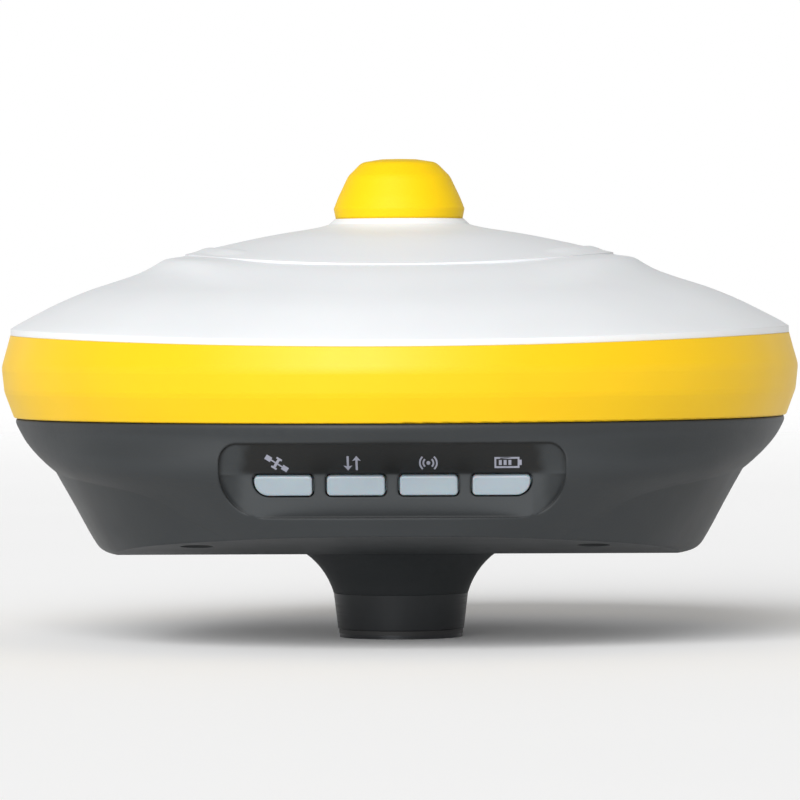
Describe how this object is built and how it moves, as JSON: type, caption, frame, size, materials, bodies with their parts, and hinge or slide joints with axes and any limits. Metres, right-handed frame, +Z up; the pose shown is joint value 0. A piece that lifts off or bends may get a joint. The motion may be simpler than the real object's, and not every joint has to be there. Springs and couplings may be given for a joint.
{
  "type": "gnss receiver",
  "caption": "Saucer-shaped survey antenna and receiver with a domed radome, bumper band, front key panel, capped top jack and a threaded neck for a pole.",
  "frame": {"origin": "middle of the neck's bottom face, the antenna reference point", "axes": "+Z up along the pole axis, -Y towards someone who reads the keys, +X to their right"},
  "size_m": [0.1578, 0.1578, 0.0949],
  "materials": {
    "radome_white": "moulded white plastic, fine matt texture",
    "bumper_yellow": "yellow rubber bumper, satin",
    "housing_grey": "dark grey moulded plastic, fine matt texture",
    "cap_yellow": "yellow rubber cap, matt",
    "key_lens": "pale translucent plastic, satin",
    "collar_black": "black anodised aluminium, satin",
    "steel_bright": "stainless steel, turned",
    "brass": "turned brass",
    "contact_gold": "gold-plated contacts",
    "pcb_green": "green solder mask on glass-fibre board",
    "shield_tin": "tinned steel shield",
    "ceramic": "sintered ceramic",
    "rubber_black": "black silicone rubber",
    "battery_black": "black plastic",
    "ptfe_white": "white insulating plastic",
    "port_metal": "nickel-plated metal"
  },
  "bodies": {
    "body": {"radome": "radome_white", "bumper_band": "bumper_yellow", "lower_housing": "housing_grey", "housing_seal": "rubber_black", "housing_screws": "steel_bright", "pole_insert": "steel_bright", "neck_collar": "collar_black", "neck_washer": "rubber_black", "insert_nut": "brass", "main_board": "pcb_green", "board_screws": "steel_bright", "gnss_module": "shield_tin", "radio_module": "shield_tin", "modem_module": "shield_tin", "antenna_standoffs": "brass", "ground_plane": "port_metal", "lower_patch": "ceramic", "upper_patch": "ceramic", "amplifier_can": "shield_tin", "antenna_screws": "steel_bright", "antenna_jack": "brass", "jack_insulator": "ptfe_white", "jack_contact": "contact_gold", "jack_nut": "brass", "antenna_coax": "battery_black", "key_board": "pcb_green", "key_board_screws": "steel_bright", "key_switches": "battery_black", "key_lamps": "key_lens", "key_seal": "rubber_black", "battery_right": "battery_black", "battery_left": "battery_black", "battery_contacts_right": "contact_gold", "battery_contacts_left": "contact_gold", "door_pin_right": "steel_bright", "door_pin_left": "steel_bright", "data_port": "port_metal", "power_port": "port_metal", "port_insulators": "battery_black", "port_nuts": "port_metal", "data_port_pins": "contact_gold", "power_port_pins": "contact_gold", "vent_plug": "rubber_black"},
    "antenna_cap": {"antenna_cap": "cap_yellow"},
    "key_satellite": {"key_satellite": "key_lens"},
    "key_data": {"key_data": "key_lens"},
    "key_wireless": {"key_wireless": "key_lens"},
    "key_battery": {"key_battery": "key_lens"},
    "door_right": {"battery_door_right": "housing_grey", "door_seal_right": "rubber_black"},
    "door_left": {"battery_door_left": "housing_grey", "door_seal_left": "rubber_black"},
    "latch_right": {"door_latch_right": "collar_black"},
    "latch_left": {"door_latch_left": "collar_black"},
    "data_port_cap": {"data_port_cap": "rubber_black"},
    "power_port_cap": {"power_port_cap": "rubber_black"}
  },
  "joints": [
    {"name": "antenna_cap_lift", "type": "slide", "parent": "body", "child": "antenna_cap", "axis": [0, 0, 1], "range_m": [0, 0.03]},
    {"name": "key_satellite_press", "type": "slide", "parent": "body", "child": "key_satellite", "axis": [0, 0.9715, 0.2369], "range_m": [0, 0.0006], "stiffness_N_per_m": 900, "springref_m": -0.0008},
    {"name": "key_data_press", "type": "slide", "parent": "body", "child": "key_data", "axis": [0, 0.9715, 0.2369], "range_m": [0, 0.0006], "stiffness_N_per_m": 900, "springref_m": -0.0008},
    {"name": "key_wireless_press", "type": "slide", "parent": "body", "child": "key_wireless", "axis": [0, 0.9715, 0.2369], "range_m": [0, 0.0006], "stiffness_N_per_m": 900, "springref_m": -0.0008},
    {"name": "key_battery_press", "type": "slide", "parent": "body", "child": "key_battery", "axis": [0, 0.9715, 0.2369], "range_m": [0, 0.0006], "stiffness_N_per_m": 900, "springref_m": -0.0008},
    {"name": "battery_door_right_hinge", "type": "hinge", "parent": "body", "child": "door_right", "pos_m": [0.0226, 0, 0.01875], "axis": [0, 1, 0], "range_deg": [0, 95]},
    {"name": "door_latch_right_slide", "type": "slide", "parent": "door_right", "child": "latch_right", "axis": [-1, 0, 0], "range_m": [0, 0.0025], "stiffness_N_per_m": 400, "springref_m": -0.001},
    {"name": "battery_door_left_hinge", "type": "hinge", "parent": "body", "child": "door_left", "pos_m": [-0.0226, 0, 0.01875], "axis": [0, -1, 0], "range_deg": [0, 95]},
    {"name": "door_latch_left_slide", "type": "slide", "parent": "door_left", "child": "latch_left", "axis": [1, 0, 0], "range_m": [0, 0.0025], "stiffness_N_per_m": 400, "springref_m": -0.001},
    {"name": "data_port_cap_pull", "type": "slide", "parent": "body", "child": "data_port_cap", "axis": [0, 1, 0], "range_m": [0, 0.014]},
    {"name": "power_port_cap_pull", "type": "slide", "parent": "body", "child": "power_port_cap", "axis": [0, 1, 0], "range_m": [0, 0.014]}
  ]
}
